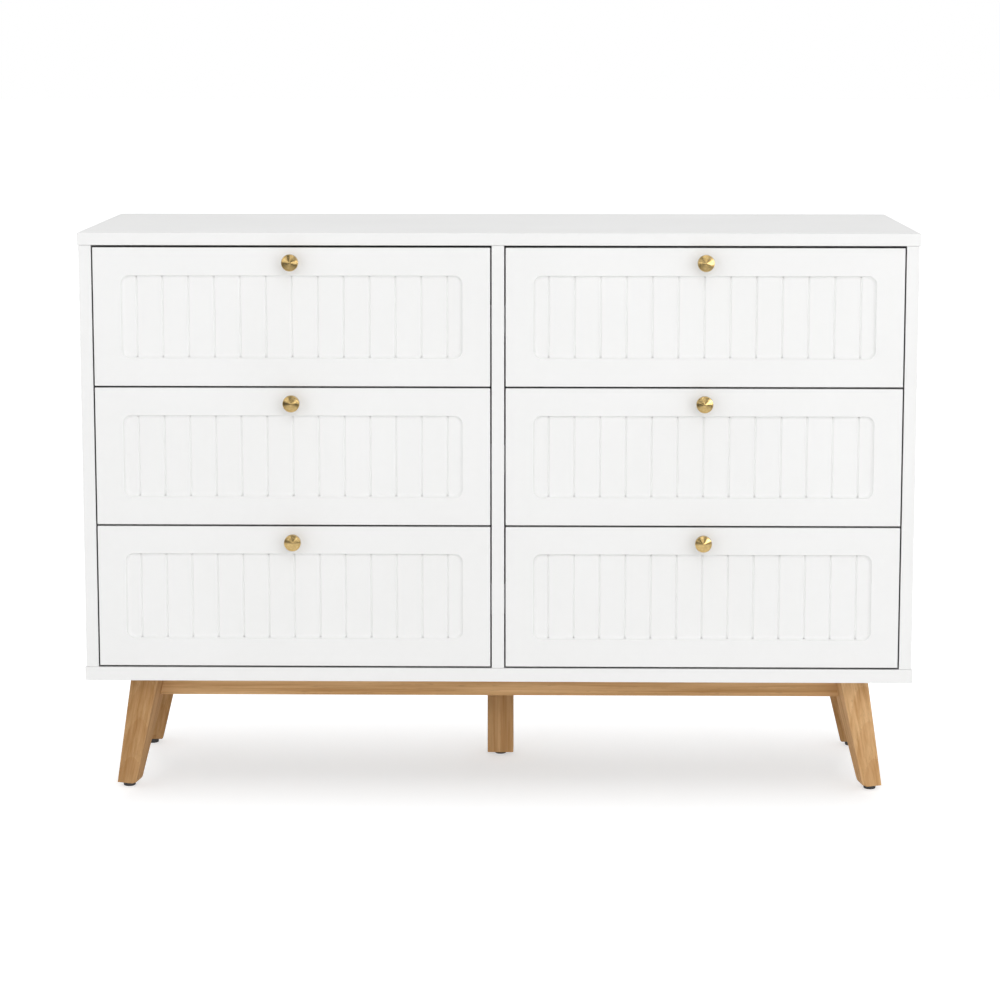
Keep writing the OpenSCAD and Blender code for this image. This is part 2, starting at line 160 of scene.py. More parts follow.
class Shader(Nodes):
    """A material in the making, with a Principled surface."""

    def __init__(self, name: str) -> None:
        """Starts the material.

        Args:
            name: the material's name
        """
        self.material = bpy.data.materials.new(name)
        super().__init__(self.material)
        self.surface = self.add("BsdfPrincipled")
        self.add("OutputMaterial", {"Surface": self.surface.outputs["BSDF"]})

    def body(self, **values: object) -> None:
        """Sets the surface's sockets, named with underscores for spaces."""
        for key, value in values.items():
            self.feed(self.surface.inputs[key.replace("_", " ")], value)

    def spot(self) -> Socket:
        """Returns the point on the piece, in the piece's own frame."""
        return self.add("TexCoord").outputs["Object"]

    def board(self) -> Socket:
        """Returns the point in the board: across, through, and along the grain."""
        return self.add("Attribute", attribute_name="board").outputs["Vector"]

    def stretch(self, at: Socket, factors: Point) -> Socket:
        """Scales a point by a factor for each axis."""
        return self.add("VectorMath", {0: at, 1: factors}, operation="MULTIPLY").outputs["Vector"]

    def noise(self, at: Socket, scale: float | Point, detail: float = 2.0,
              roughness: float = 0.5, distortion: float = 0.0) -> Socket:
        """Adds a cloudy noise from 0 to 1.

        Args:
            at: the point
            scale: clouds in a metre, or those along each axis
            detail: how many finer layers it has
            roughness: how strong the finer layers are
            distortion: how much it swirls
        Returns:
            The noise's value.
        """
        if isinstance(scale, tuple):
            at, scale = self.stretch(at, scale), 1.0
        return self.add("TexNoise", {
            "Vector": at, "Scale": scale, "Detail": detail, "Roughness": roughness,
            "Distortion": distortion}).outputs["Fac"]

    def average(self, first: Socket, second: Socket, share: float) -> Socket:
        """Adds a share of the first number to the rest of the second."""
        return self.maths("ADD", self.maths("MULTIPLY", first, share),
                          self.maths("MULTIPLY", second, 1.0 - share))

    def ramp(self, value: Socket, colours: Sequence[Rgb], start: float = 0.3,
             end: float = 0.7) -> Socket:
        """Turns a number into a colour.

        Args:
            value: the number
            colours: the colours, spread evenly from start to end
            start: the number up to which the first colour holds
            end: the number from which the last colour holds
        Returns:
            The colour.
        """
        node = self.add("ValToRGB", {"Fac": value})
        elements = node.color_ramp.elements
        while len(elements) < len(colours):
            elements.new(0.5)
        for i, (element, colour) in enumerate(zip(elements, colours)):
            element.position = start + (end - start) * i / (len(colours) - 1)
            element.color = (*colour, 1.0)
        return node.outputs["Color"]

    def blend(self, share: object, first: object, second: object, way: str = "MIX") -> Socket:
        """Blends two colours.

        Args:
            share: how much of the second colour there is
            first: a colour or socket
            second: a colour or socket
            way: the Mix node's blend type
        Returns:
            The colour.
        """
        values = {number: (*value, 1.0) if isinstance(value, tuple) else value
                  for number, value in ((0, share), (6, first), (7, second))}
        return self.add("Mix", values, data_type="RGBA", blend_type=way).outputs[2]

    def stain(self, share: object, colour: Socket, tint: Rgb) -> Socket:
        """Darkens a share of a colour by a tint."""
        return self.blend(share, colour, tint, "MULTIPLY")

    def relief(self, *layers: tuple[Socket, float]) -> None:
        """Gives the surface a fine relief.

        Args:
            layers: heights from 0 to 1, each with its depth in metres
        """
        below: dict[str, Socket] = {}
        for height, depth in layers:
            bump = self.add("Bump", {"Height": height, "Distance": depth, **below})
            below = {"Normal": bump.outputs["Normal"]}
        self.body(**below)


@dataclass(frozen=True)
class Finish:
    """A finish that a piece can be given.

    Attributes:
        slot: the record's slot that it belongs to
        colours: its colours, the darkest first
        rough: its roughness where it is smoothest and where it is dullest
        worn: True for eased edges, where hands and cloths have rubbed it
    """

    slot: Slot
    colours: tuple[Rgb, ...]
    rough: Pair
    worn: bool = False

    def title(self) -> str:
        """Returns the finish's name."""
        return self.slot.value + ("_edge" if self.worn else "")

    def paint(self, shader: Shader) -> None:
        """Builds the finish's nodes.

        Args:
            shader: the material in the making
        """
        raise NotImplementedError


@lru_cache(maxsize=None)
def material_of(finish: Finish) -> bpy.types.Material:
    """Builds a finish's material once.

    Args:
        finish: the finish
    Returns:
        Its material.
    """
    shader = Shader(finish.title())
    finish.paint(shader)
    return shader.material


@dataclass(frozen=True)
class WhiteLacquer(Finish):
    """Satin white lacquer on fibreboard.

    Attributes:
        painted_gap_shade: the dark colour painted into the narrow gaps as shade
        gap_reach: how far the surface in such a gap looks for its other side
        shade_openness: how open the gap is where the painted shade is darkest, and where it stops
    """

    slot: Slot = Slot.WHITE_LACQUER
    colours: tuple[Rgb, ...] = ((0.862, 0.862, 0.855), (0.885, 0.885, 0.88))
    rough: Pair = (0.36, 0.44)
    painted_gap_shade: Rgb = (0.19, 0.19, 0.187)
    gap_reach: float = 8 * MM
    shade_openness: Pair = (0.1, 0.42)

    def paint(self, shader: Shader) -> None:
        """Builds faint clouds, the coat's orange peel and an uneven satin sheen, and paints shade
        into the narrow gaps.

        Args:
            shader: the material in the making
        """
        at = shader.spot()
        clouds, specks = shader.noise(at, 3.5, 3.0), shader.noise(at, 90.0, 4.0, 0.6)
        coat = shader.ramp(shader.average(clouds, specks, 0.75), self.colours, 0.35, 0.65)
        # painted shade: the colour turns dark where ambient occlusion finds a near surface, as in
        # the gaps round the drawers
        open_air = shader.add("AmbientOcclusion", {"Distance": self.gap_reach},
                              samples=4).outputs["AO"]
        painted_shade_share = shader.span(open_air, 1.0, 0.0, *self.shade_openness)
        sheen = shader.noise(at, 11.0, 4.0, 0.6)
        shader.body(Base_Color=shader.blend(painted_shade_share, coat, self.painted_gap_shade),
                    Roughness=shader.span(sheen, *self.rough, 0.3, 0.7), Specular_IOR_Level=0.45)
        waves, peel = shader.noise(at, 45.0, 1.0), shader.noise(at, 620.0)
        shader.relief((waves, 0.06 * MM), (peel, 0.012 * MM))


@dataclass(frozen=True)
class WhiteBoard(Finish):
    """White foil on the thin back panel, with a fine pressed grain."""

    slot: Slot = Slot.WHITE_BOARD
    colours: tuple[Rgb, ...] = ((0.80, 0.80, 0.785), (0.85, 0.85, 0.84))
    rough: Pair = (0.42, 0.6)

    def paint(self, shader: Shader) -> None:
        """Builds the foil's pressed grain, which runs upright.

        Args:
            shader: the material in the making
        """
        at = shader.spot()
        grain = shader.noise(at, (420.0, 420.0, 18.0), 3.0, 0.6)
        tone = shader.average(shader.noise(at, 5.0, 3.0), grain, 0.6)
        shader.body(Base_Color=shader.ramp(tone, self.colours, 0.35, 0.65),
                    Roughness=shader.span(grain, *self.rough), Specular_IOR_Level=0.4)
        shader.relief((grain, 0.05 * MM))


@dataclass(frozen=True)
class Oak(Finish):
    """Oiled solid oak.

    Attributes:
        darkest: the colours of the darkest board, where the others are the palest board's
        tone: how dark this board is, from 0 for the palest to 1 for the darkest
        ring: the width of a year's growth
        rubbed: the colour that worn edges tend to
    """

    slot: Slot = Slot.OAK
    colours: tuple[Rgb, ...] = ((0.68, 0.42, 0.205), (0.84, 0.555, 0.30))
    rough: Pair = (0.6, 0.7)
    darkest: tuple[Rgb, ...] = ((0.41, 0.235, 0.105), (0.55, 0.33, 0.155))
    tone: float = 0.4
    ring: float = 4.2 * MM
    rubbed: Rgb = (0.74, 0.50, 0.27)

    def title(self) -> str:
        """Returns the finish's name, with the board's tone."""
        return f"oak_{round(self.tone * 100):02d}" + ("_edge" if self.worn else "")

    def paint(self, shader: Shader) -> None:
        """Builds growth rings, streaks, pores, fibres and slow changes of colour.

        Args:
            shader: the material in the making
        """
        at = shader.board()
        broad = shader.noise(at, (34.0, 34.0, 2.2), 3.0)
        streak = shader.noise(at, (190.0, 190.0, 4.0), 3.0, 0.6)
        fibre = shader.noise(at, (620.0, 620.0, 9.0), 4.0, 0.65)
        pores = shader.noise(at, (1500.0, 1500.0, 60.0), 1.0)
        rings = self.rings(shader, at)
        late = shader.span(rings, 0.0, 1.0, 0.25, 0.9)
        early = shader.span(rings, 1.0, 0.15, 0.0, 0.5)
        pits = shader.maths("MULTIPLY", shader.span(pores, 0.0, 1.0, 0.6, 0.7), early)
        wood = shader.ramp(broad, [tuple(a + (b - a) * self.tone for a, b in zip(pale, dark))
                                   for pale, dark in zip(self.colours, self.darkest)])
        wood = shader.stain(shader.maths("MULTIPLY", late, 0.30), wood, (0.74, 0.60, 0.46))
        wood = shader.stain(shader.span(streak, 0.85, 0.0, 0.32, 0.6), wood, (0.74, 0.64, 0.50))
        wood = shader.stain(shader.span(fibre, 0.45, 0.0, 0.3, 0.7), wood, (0.74, 0.66, 0.54))
        wood = shader.blend(shader.maths("MULTIPLY", pits, 0.45), wood, (0.16, 0.08, 0.035))
        if self.worn:
            wood = shader.blend(0.12, wood, self.rubbed)
        rough = shader.maths("ADD", shader.span(fibre, *self.rough, 0.3, 0.7),
                             shader.maths("MULTIPLY", pits, 0.15))
        shader.body(Base_Color=wood, Roughness=rough, Specular_IOR_Level=0.08)
        shader.relief((fibre, 0.03 * MM), (shader.maths("SUBTRACT", 1.0, pits), 0.06 * MM))

    def rings(self, shader: Shader, at: Socket) -> Socket:
        """Builds the growth rings, which wander a little along the board.

        Args:
            shader: the material in the making
            at: the point in the board
        Returns:
            A number that climbs from 0 to 1 in each year's growth.
        """
        sway = shader.add("TexNoise", {"Vector": shader.stretch(at, (9.0, 9.0, 1.4)),
                                       "Scale": 1.0, "Detail": 2.0}).outputs["Color"]
        drift = shader.add("VectorMath", {0: sway, 1: (0.5, 0.5, 0.5)}, operation="SUBTRACT")
        bent = shader.add("VectorMath", {
            0: drift.outputs["Vector"], 1: (12 * MM, 12 * MM, 0.0),
            2: shader.stretch(at, (1.0, 1.0, 0.03))}, operation="MULTIPLY_ADD")
        return shader.add("TexWave", {
            "Vector": bent.outputs["Vector"], "Scale": WAVE / self.ring, "Distortion": 0.6,
            "Detail": 2.0, "Detail Scale": 0.4}, wave_type="RINGS", rings_direction="Z",
            wave_profile="SAW").outputs["Fac"]


@dataclass(frozen=True)
class BirchPly(Finish):
    """Lacquered birch plywood.

    Attributes:
        cut: True where the sheet's edge shows its layers
        layer: the thickness of one layer
    """

    slot: Slot = Slot.DRAWER_WOOD
    colours: tuple[Rgb, ...] = ((0.60, 0.445, 0.275), (0.68, 0.525, 0.345), (0.74, 0.59, 0.40))
    rough: Pair = (0.38, 0.55)
    cut: bool = False
    layer: float = 1.3 * MM

    def title(self) -> str:
        """Returns the finish's name."""
        return "birch_ply" + ("_layers" if self.cut else "")

    def paint(self, shader: Shader) -> None:
        """Builds the veneer's wandering grain, or the layers on a cut edge.

        Args:
            shader: the material in the making
        """
        at = shader.board()
        fibre = shader.noise(at, (420.0, 420.0, 10.0), 4.0, 0.6)
        wood = shader.ramp(shader.noise(at, (24.0, 24.0, 4.0), 3.0, 0.5, 0.8), self.colours)
        wood = shader.stain(shader.span(fibre, 0.35, 0.0, 0.35, 0.65), wood, (0.80, 0.72, 0.60))
        if self.cut:
            layers = shader.add("TexWave", {
                "Vector": shader.stretch(at, (0.0, 1.0, 0.0)), "Scale": WAVE / (2 * self.layer),
                "Distortion": 0.0}, wave_type="BANDS", bands_direction="Y",
                wave_profile="SIN").outputs["Fac"]
            wood = shader.stain(shader.span(layers, 0.0, 0.75, 0.42, 0.58), wood,
                                (0.62, 0.50, 0.38))
        shader.body(Base_Color=wood, Roughness=shader.span(fibre, *self.rough, 0.3, 0.7),
                    Specular_IOR_Level=0.4)
        shader.relief((fibre, 0.03 * MM))


@dataclass(frozen=True)
class FloorBoard(Finish):
    """Pale foil on the thin board of a drawer's floor, with a linen print."""

    slot: Slot = Slot.FLOOR_BOARD
    colours: tuple[Rgb, ...] = ((0.70, 0.68, 0.64), (0.80, 0.785, 0.75))
    rough: Pair = (0.45, 0.6)

    def paint(self, shader: Shader) -> None:
        """Builds a fine linen weave in the foil.

        Args:
            shader: the material in the making
        """
        at = shader.spot()
        warp, weft = (shader.add("TexWave", {
            "Vector": at, "Scale": 90.0, "Distortion": 3.0, "Detail": 2.0},
            wave_type="BANDS", bands_direction=axis.name).outputs["Fac"] for axis in Axis)
        linen = shader.average(warp, weft, 0.5)
        tone = shader.average(linen, shader.noise(at, 9.0, 3.0), 0.5)
        shader.body(Base_Color=shader.ramp(tone, self.colours),
                    Roughness=shader.span(linen, *self.rough), Specular_IOR_Level=0.4)
        shader.relief((linen, 0.04 * MM))


@dataclass(frozen=True)
class Beech(Finish):
    """Raw beech dowels with short flecks."""

    slot: Slot = Slot.BEECH
    colours: tuple[Rgb, ...] = ((0.52, 0.34, 0.19), (0.66, 0.47, 0.29))
    rough: Pair = (0.55, 0.75)

    def paint(self, shader: Shader) -> None:
        """Builds the flecks.

        Args:
            shader: the material in the making
        """
        flecks = shader.noise(shader.spot(), (700.0, 700.0, 160.0), 3.0, 0.6)
        shader.body(Base_Color=shader.ramp(flecks, self.colours),
                    Roughness=shader.span(flecks, *self.rough))
        shader.relief((flecks, 0.04 * MM))


@dataclass(frozen=True)
class Brass(Finish):
    """Turned brass, brushed in circles and clear lacquered.

    Attributes:
        turns: turning marks in a metre of radius
    """

    slot: Slot = Slot.BRASS
    colours: tuple[Rgb, ...] = ((0.41, 0.29, 0.12), (0.49, 0.355, 0.155), (0.57, 0.425, 0.20))
    rough: Pair = (0.19, 0.27)
    turns: float = 5200.0

    def paint(self, shader: Shader) -> None:
        """Builds the turning marks and the tarnish, round the piece's own Z axis.

        Args:
            shader: the material in the making
        """
        at = shader.spot()
        reach = shader.add("VectorMath", {0: shader.stretch(at, (1.0, 1.0, 0.0))},
                           operation="LENGTH").outputs["Value"]
        rings = shader.add("TexNoise", {
            "W": shader.maths("MULTIPLY", reach, self.turns), "Scale": 1.0, "Detail": 2.0},
            noise_dimensions="1D").outputs["Fac"]
        colour = shader.ramp(shader.noise(at, 260.0, 3.0), self.colours)
        colour = shader.stain(shader.span(rings, 0.3, 0.0, 0.35, 0.65), colour,
                              (0.70, 0.60, 0.42))
        brushed = shader.add("Tangent", direction_type="RADIAL", axis="Z").outputs["Tangent"]
        shader.body(Base_Color=colour, Metallic=1.0,
                    Roughness=shader.span(rings, *self.rough, 0.3, 0.7),
                    Anisotropic=0.85, Anisotropic_Rotation=0.25, Tangent=brushed)
        shader.relief((rings, 0.0015 * MM))


@dataclass(frozen=True)
class ZincSteel(Finish):
    """Bright zinc plated steel."""

    slot: Slot = Slot.ZINC_STEEL
    colours: tuple[Rgb, ...] = ((0.58, 0.59, 0.61), (0.65, 0.655, 0.655))
    rough: Pair = (0.24, 0.42)

    def paint(self, shader: Shader) -> None:
        """Builds the rolled sheet's lines and the plating's tint.

        Args:
            shader: the material in the making
        """
        at = shader.spot()
        lines = shader.noise(at, (900.0, 14.0, 900.0), 3.0, 0.6)
        shader.body(Base_Color=shader.ramp(shader.noise(at, 40.0, 4.0, 0.6), self.colours),
                    Metallic=1.0, Roughness=shader.span(lines, *self.rough, 0.3, 0.7))
        shader.relief((lines, 0.02 * MM))


@dataclass(frozen=True)
class BlackPlastic(Finish):
    """Matt black moulded plastic."""

    slot: Slot = Slot.BLACK_PLASTIC
    colours: tuple[Rgb, ...] = ((0.018, 0.018, 0.02), (0.04, 0.04, 0.042))
    rough: Pair = (0.45, 0.65)

    def paint(self, shader: Shader) -> None:
        """Builds the mould's fine spark texture.

        Args:
            shader: the material in the making
        """
        at = shader.spot()
        dust = shader.noise(at, 120.0, 4.0, 0.6)
        shader.body(Base_Color=shader.ramp(dust, self.colours, 0.35),
                    Roughness=shader.span(dust, *self.rough, 0.3, 0.7))
        shader.relief((shader.noise(at, 1600.0), 0.03 * MM))


LACQUER = (WhiteLacquer(), WhiteLacquer(
    worn=True, colours=((0.836, 0.836, 0.829), (0.885, 0.885, 0.88)), rough=(0.28, 0.44)))


def oak(tone: float) -> tuple[Oak, Oak]:
    """Returns the finishes of an oak board and of its eased edges."""
    return Oak(tone=tone), Oak(tone=tone, worn=True)


# Shapes


def rounded(corners: Sequence[tuple[float, ...]], steps: int = 5) -> Outline:
    """Rounds the corners of an open outline; its two ends stay.

    Args:
        corners: the corners in order, each with its radius as a third number unless it is sharp
        steps: faces in each rounded corner
    Returns:
        The points of the rounded outline.
    """
    result: Outline = [corners[0][:2]]
    for before, corner, after in zip(corners, corners[1:], corners[2:]):
        if len(corner) == 2:
            result.append(corner)
            continue
        here, radius = Vector(corner[:2]), corner[2]
        back, ahead = ((Vector(p[:2]) - here).normalized() for p in (before, after))
        half = back.angle(ahead) / 2
        middle = here + (back + ahead).normalized() * (radius / math.sin(half))
        first, last = (here + way * (radius / math.tan(half)) - middle for way in (back, ahead))
        turn = math.atan2(first.x * last.y - first.y * last.x, first.dot(last))
        result += [tuple(middle + Matrix.Rotation(turn * i / steps, 2) @ first)
                   for i in range(steps + 1)]
    return [*result, corners[-1][:2]]


def points_of(verts: Iterable[Vert]) -> np.ndarray:
    """Returns the places of vertices, one in each row."""
    return np.array([v.co[:] for v in verts])


def placed(name: str, data: bpy.types.ID) -> bpy.types.Object:
    """Makes an object of a mesh, a lamp or a camera.

    Args:
        name: the object's name
        data: what it shows
    Returns:
        The object, linked to the scene.
    """
    thing = bpy.data.objects.new(name, data)
    bpy.context.scene.collection.objects.link(thing)
    return thing


class Shape:
    """A mesh in the making, in the row's frame unless it says otherwise."""

    SAME = 0.0005 * MM  # points nearer than this are one
    NEAR = 0.002 * MM  # the same for the points of a CAD node
    FLUSH = 0.02 * MM  # a face no deeper than this below its solid's end is outermost
    SHARP = math.radians(20)  # edges that turn by more than this are eased
    FLAT = math.radians(0.5)  # triangles that turn by less than this are one face

    def __init__(self) -> None:
        """Starts an empty shape."""
        self.bm = bmesh.new()

    @classmethod
    def of_node(cls, node: str) -> "Shape":
        """Copies a CAD node, with the triangles of each flat face joined again.

        Args:
            node: the node's name
        Returns:
            The shape.
        """
        shape = cls()
        shape.bm.from_mesh(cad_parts[node].data)
        bmesh.ops.remove_doubles(shape.bm, verts=shape.bm.verts[:], dist=cls.NEAR)
        bmesh.ops.dissolve_limit(shape.bm, angle_limit=cls.FLAT, verts=shape.bm.verts[:],
                                 edges=shape.bm.edges[:])
        return shape

    @classmethod
    def block(cls, low: Vector, high: Vector) -> "Shape":
        """Makes a box.

        Args:
            low: its lowest corner
            high: its highest corner
        Returns:
            The shape.
        """
        shape = cls()
        bmesh.ops.create_cube(shape.bm, size=1.0)
        return shape.moved(Matrix.Translation((low + high) / 2)
                           @ Matrix.Diagonal((*(high - low), 1.0)))

    @classmethod
    def turned(cls, outline: Outline, count: int = 96) -> "Shape":
        """Turns an outline round the Z axis.

        Args:
            outline: (radius, height) points, from one end on the axis to the other
            count: faces round the axis
        Returns:
            The shape, in its own frame.
        """
        shape = cls()
        rings = []
        for radius, height in outline:
            places = [(radius * math.cos(a), radius * math.sin(a), height)
                      for a in (2 * math.pi * i / count for i in range(count if radius else 1))]
            ring = [shape.bm.verts.new(place) for place in places]
            rings.append(ring if radius else ring * count)
        for low, high in zip(rings, rings[1:]):
            shape.band(low, high)
        return shape.tidy()

    @classmethod
    def drawn(cls, outline: Outline, start: float, end: float) -> "Shape":
        """Pulls a closed outline in X and Z along Y.

        Args:
            outline: the section's corners, in order
            start: where it starts on Y
            end: where it ends on Y
        Returns:
            The shape.
        """
        shape = cls()
        first, last = ([shape.bm.verts.new((x, y, z)) for x, z in outline] for y in (start, end))
        shape.band(first, last)
        shape.face(*first)
        shape.face(*last)
        return shape.tidy()

    def face(self, *corners: Vert) -> None:
        """Adds a face, leaving out corners that repeat.

        Args:
            corners: its vertices, in order
        """
        once = list(dict.fromkeys(corners))
        if len(once) > 2:
            self.bm.faces.new(once)

    def band(self, first: list[Vert], second: list[Vert]) -> None:
        """Adds a closed band of faces between two rings of as many vertices."""
        for corners in zip(first, first[1:] + first[:1], second[1:] + second[:1], second):
            self.face(*corners)

    def tidy(self) -> "Shape":
        """Welds what touches and turns all faces outwards.

        Returns:
            The shape itself.
        """
        bmesh.ops.remove_doubles(self.bm, verts=self.bm.verts[:], dist=self.SAME)
        bmesh.ops.recalc_face_normals(self.bm, faces=self.bm.faces[:])
        return self

    def islands(self) -> list[list[Vert]]:
        """Finds the separate solids.

        Returns:
            The vertices of each.
        """
        found, seen = [], set()
        for start in self.bm.verts:
            if start in seen:
                continue
            island = [start]
            seen.add(start)
            for vertex in island:  # which grows on the way
                for other in (edge.other_vert(vertex) for edge in vertex.link_edges):
                    if other not in seen:
                        seen.add(other)
                        island.append(other)
            found.append(island)
        return found

    def outer_edges(self) -> list[Edge]:
        """Finds the sharp edges between two faces that each solid lies wholly behind.

        Returns:
            The edges, holes and slots left out.
        """
        self.bm.normal_update()
        outer: set[bmesh.types.BMFace] = set()
        for island in self.islands():
            points = points_of(island)
            for face in {f for v in island for f in v.link_faces}:
                ahead = (points @ np.array(face.normal[:])).max()
                if ahead - face.verts[0].co.dot(face.normal) < self.FLUSH:
                    outer.add(face)
        return [e for e in self.bm.edges if len(e.link_faces) == 2
                and all(f in outer for f in e.link_faces)
                and e.calc_face_angle(0.0) > self.SHARP]

    def ease(self, radius: float, steps: int = 3,
             choose: Callable[[Edge], bool] = lambda edge: True) -> "Shape":
        """Rounds the outer edges, within the box that they span.

        Args:
            radius: the radius
            steps: faces in each rounded edge
            choose: says which edges are rounded, all if left out
        Returns:
            The shape itself.
        """
        edges = [e for e in self.outer_edges() if choose(e)]
        points = points_of(self.bm.verts)
        low, high = points.min(axis=0), points.max(axis=0)
        bmesh.ops.bevel(self.bm, geom=edges, offset=radius, offset_type="OFFSET",
                        segments=steps, profile=0.5, affect="EDGES", clamp_overlap=False,
                        loop_slide=True, material=1)
        for vert in self.bm.verts:
            vert.co = np.clip(vert.co[:], low, high)
        bmesh.ops.remove_doubles(self.bm, verts=self.bm.verts[:], dist=self.SAME)
        return self

    def mesh(self, name: str) -> bpy.types.Mesh:
        """Makes a mesh of the shape.

        Args:
            name: the mesh's name
        Returns:
            The mesh.
        """
        mesh = bpy.data.meshes.new(name)
        self.bm.to_mesh(mesh)
        return mesh

    def join(self, other: "Shape") -> None:
        """Adds a second shape beside the first.

        Args:
            other: the shape to add
        """
        mesh = other.mesh("joined")
        self.bm.from_mesh(mesh)
        bpy.data.meshes.remove(mesh)

    def moved(self, matrix: Matrix) -> "Shape":
        """Moves, turns or mirrors the shape.

        Args:
            matrix: the move
        Returns:
            The shape itself.
        """
        bmesh.ops.transform(self.bm, matrix=matrix, verts=self.bm.verts[:])
        if matrix.determinant() < 0:
            bmesh.ops.reverse_faces(self.bm, faces=self.bm.faces[:])
        return self

    def carve(self, cutter: "Shape") -> "Shape":
        """Cuts a second shape out of this one.

        Args:
            cutter: the shape of the hole
        Returns:
            The shape itself.
        """
        blank, tool = (placed(name, shape.mesh(name))
                       for name, shape in (("blank", self), ("cutter", cutter)))
        modifier = blank.modifiers.new("carve", "BOOLEAN")
        modifier.object, modifier.solver, modifier.operation = tool, "EXACT", "DIFFERENCE"
        bpy.context.view_layer.update()
        result = blank.evaluated_get(bpy.context.evaluated_depsgraph_get())
        self.bm.clear()
        self.bm.from_mesh(result.to_mesh())
        result.to_mesh_clear()
        for thing in (blank, tool):
            mesh = thing.data
            bpy.data.objects.remove(thing)
            bpy.data.meshes.remove(mesh)
        return self


@dataclass
class Piece:
    """A shape that becomes one visible piece.

    Attributes:
        name: the piece's name
        body: the CAD body that it rides on
        finishes: the finishes of its material slots, faces first and eased edges second
        node: the CAD node that it takes the place of
        grain: the direction of the wood's grain, if it has one
        face: the direction that the board's broad face points in
        seed: where in the tree the board was cut
        place: where the piece's own frame lies in the row's frame
        smooth: edges sharper than this many degrees stay sharp
    """

    name: str
    body: str
    finishes: Sequence[Finish]
    node: str
    grain: Sequence[float] | None = None
    face: Sequence[float] | None = None
    seed: int = 0
    place: Matrix | None = None
    smooth: float = 35.0

    def make(self, shape: Shape) -> None:
        """Turns a shape into the piece.

        Args:
            shape: its shape, in the piece's own frame
        """
        mesh = shape.mesh(self.name)
        for finish in self.finishes:
            mesh.materials.append(material_of(finish))
        for polygon in mesh.polygons:
            polygon.material_index = min(polygon.material_index, len(self.finishes) - 1)
        mesh.shade_smooth()
        mesh.set_sharp_from_angle(angle=math.radians(self.smooth))
        if self.grain is not None:
            self.lay_grain(mesh)
        piece = placed(self.name, mesh)
        if self.place is not None:
            piece.matrix_world = self.place
        piece.modifiers.new("even_normals", "WEIGHTED_NORMAL").keep_sharp = True
        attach(piece, self.body)
        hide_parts(self.node)
        LOG.info("%s: %d faces", self.name, len(mesh.polygons))

    def lay_grain(self, mesh: bpy.types.Mesh) -> None:
        """Stores each point's place in the board, for the wood finishes.

        Args:
            mesh: the piece's mesh
        """
        along, face = Vector(self.grain).normalized(), Vector(self.face)
        through = (face - along * face.dot(along)).normalized()
        across = along.cross(through)
        points = np.zeros(len(mesh.vertices) * 3, np.float32)
        mesh.vertices.foreach_get("co", points)
        points = points.reshape(-1, 3)
        points = points - points.mean(axis=0)
        turn = np.array([across[:], through[:], along[:]], np.float32)
        from_pith = np.array([13 * MM * (self.seed % 5 - 2), 45 * MM + 7 * MM * (self.seed % 3),
                              0.77 * self.seed], np.float32)
        store = mesh.attributes.new("board", "FLOAT_VECTOR", "POINT")
        store.data.foreach_set("vector", (points @ turn.T + from_pith).astype(np.float32).ravel())


# Sub-assemblies


@dataclass
class Case:
    """The white case: its boards, its back, and the dowels and screws of all joints.

    Attributes:
        body: the CAD body
        board_edge: radius of the boards' eased edges
        back_edge: radius of the thin back panel's edges
    """

    body: str = "case"
    board_edge: float = 0.9 * MM
    back_edge: float = 0.4 * MM

    def build(self) -> None:
        """Builds and dresses every piece of the case."""
        for node in ("top_panel", "bottom_panel", "left_side_panel", "right_side_panel",
                     "centre_divider"):
            Piece(node + "_lacquered", self.body, LACQUER, node).make(
                Shape.of_node(node).ease(self.board_edge))
        Piece("back_board", self.body, [WhiteBoard()], "back_panel").make(
            Shape.of_node("back_panel").ease(self.back_edge, 2))
        self.dress_hidden()

    def dress_hidden(self) -> None:
        """Gives the dowels and screws inside the joints their finishes."""
        for node, finish in (("dowels", Beech()), ("screws", ZincSteel())):
            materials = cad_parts[node].data.materials
            materials.clear()
            materials.append(material_of(finish))


